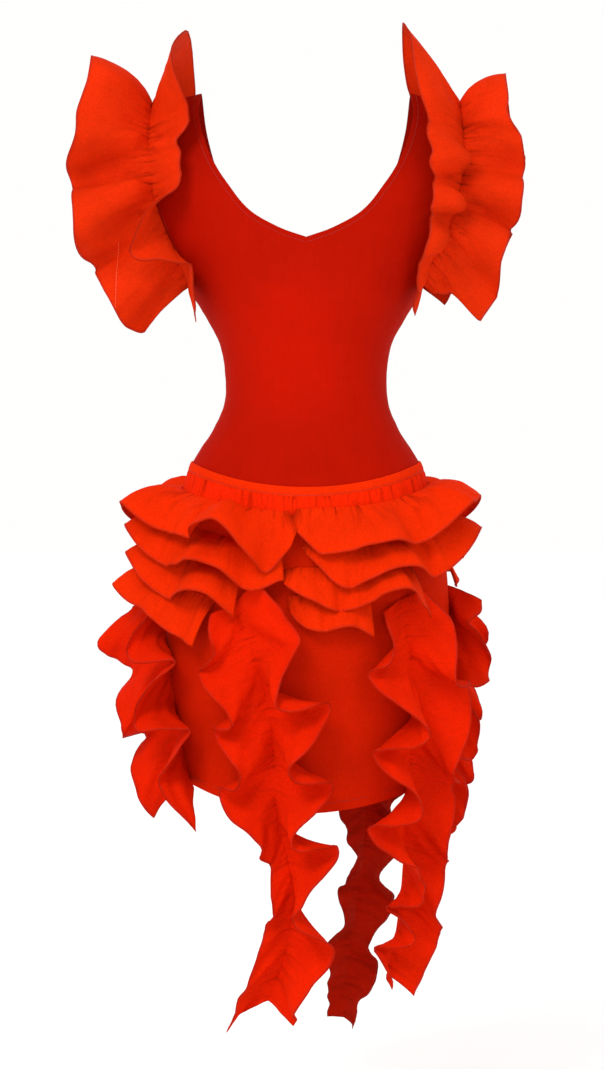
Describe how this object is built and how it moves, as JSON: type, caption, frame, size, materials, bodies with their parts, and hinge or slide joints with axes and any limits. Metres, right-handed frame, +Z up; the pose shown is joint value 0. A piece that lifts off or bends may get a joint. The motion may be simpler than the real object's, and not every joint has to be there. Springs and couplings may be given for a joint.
{
  "type": "tiered ruffle dress",
  "caption": "Worn knee-length dance dress: low scoop bodice, double ruffles on the armholes, gathered waist, hip tiers and long centre-gathered cascades over an open skirt.",
  "frame": {"origin": "midway between the two shoulder seams, at the height of their neck ends, where a figure or hanger holds the dress", "axes": "+Z up, -Y the dress's front, +X to the viewer's right when the front is seen"},
  "size_m": [0.6251, 0.3741, 1.3941],
  "materials": {
    "bodice_red": "matt stretch jersey, dark red",
    "skirt_red": "matt soft woven cloth, orange red"
  },
  "bodies": {
    "root": {"bodice_front": "bodice_red", "bodice_back": "bodice_red", "waistband": "skirt_red", "skirt_front": "skirt_red", "skirt_back": "skirt_red", "tier_left_1": "skirt_red", "tier_left_2": "skirt_red", "tier_left_3": "skirt_red", "tier_left_4": "skirt_red", "tier_right_1": "skirt_red", "tier_right_2": "skirt_red", "tier_right_3": "skirt_red", "tier_right_4": "skirt_red", "tier_right_5": "skirt_red", "tier_right_6": "skirt_red", "cascade_left_front": "skirt_red", "cascade_right_front": "skirt_red", "cascade_left_side": "skirt_red", "cascade_right_side": "skirt_red", "cascade_right_back": "skirt_red", "cascade_left_back": "skirt_red", "sleeve_ruffle_left": "skirt_red", "sleeve_ruffle_right": "skirt_red"}
  },
  "joints": []
}
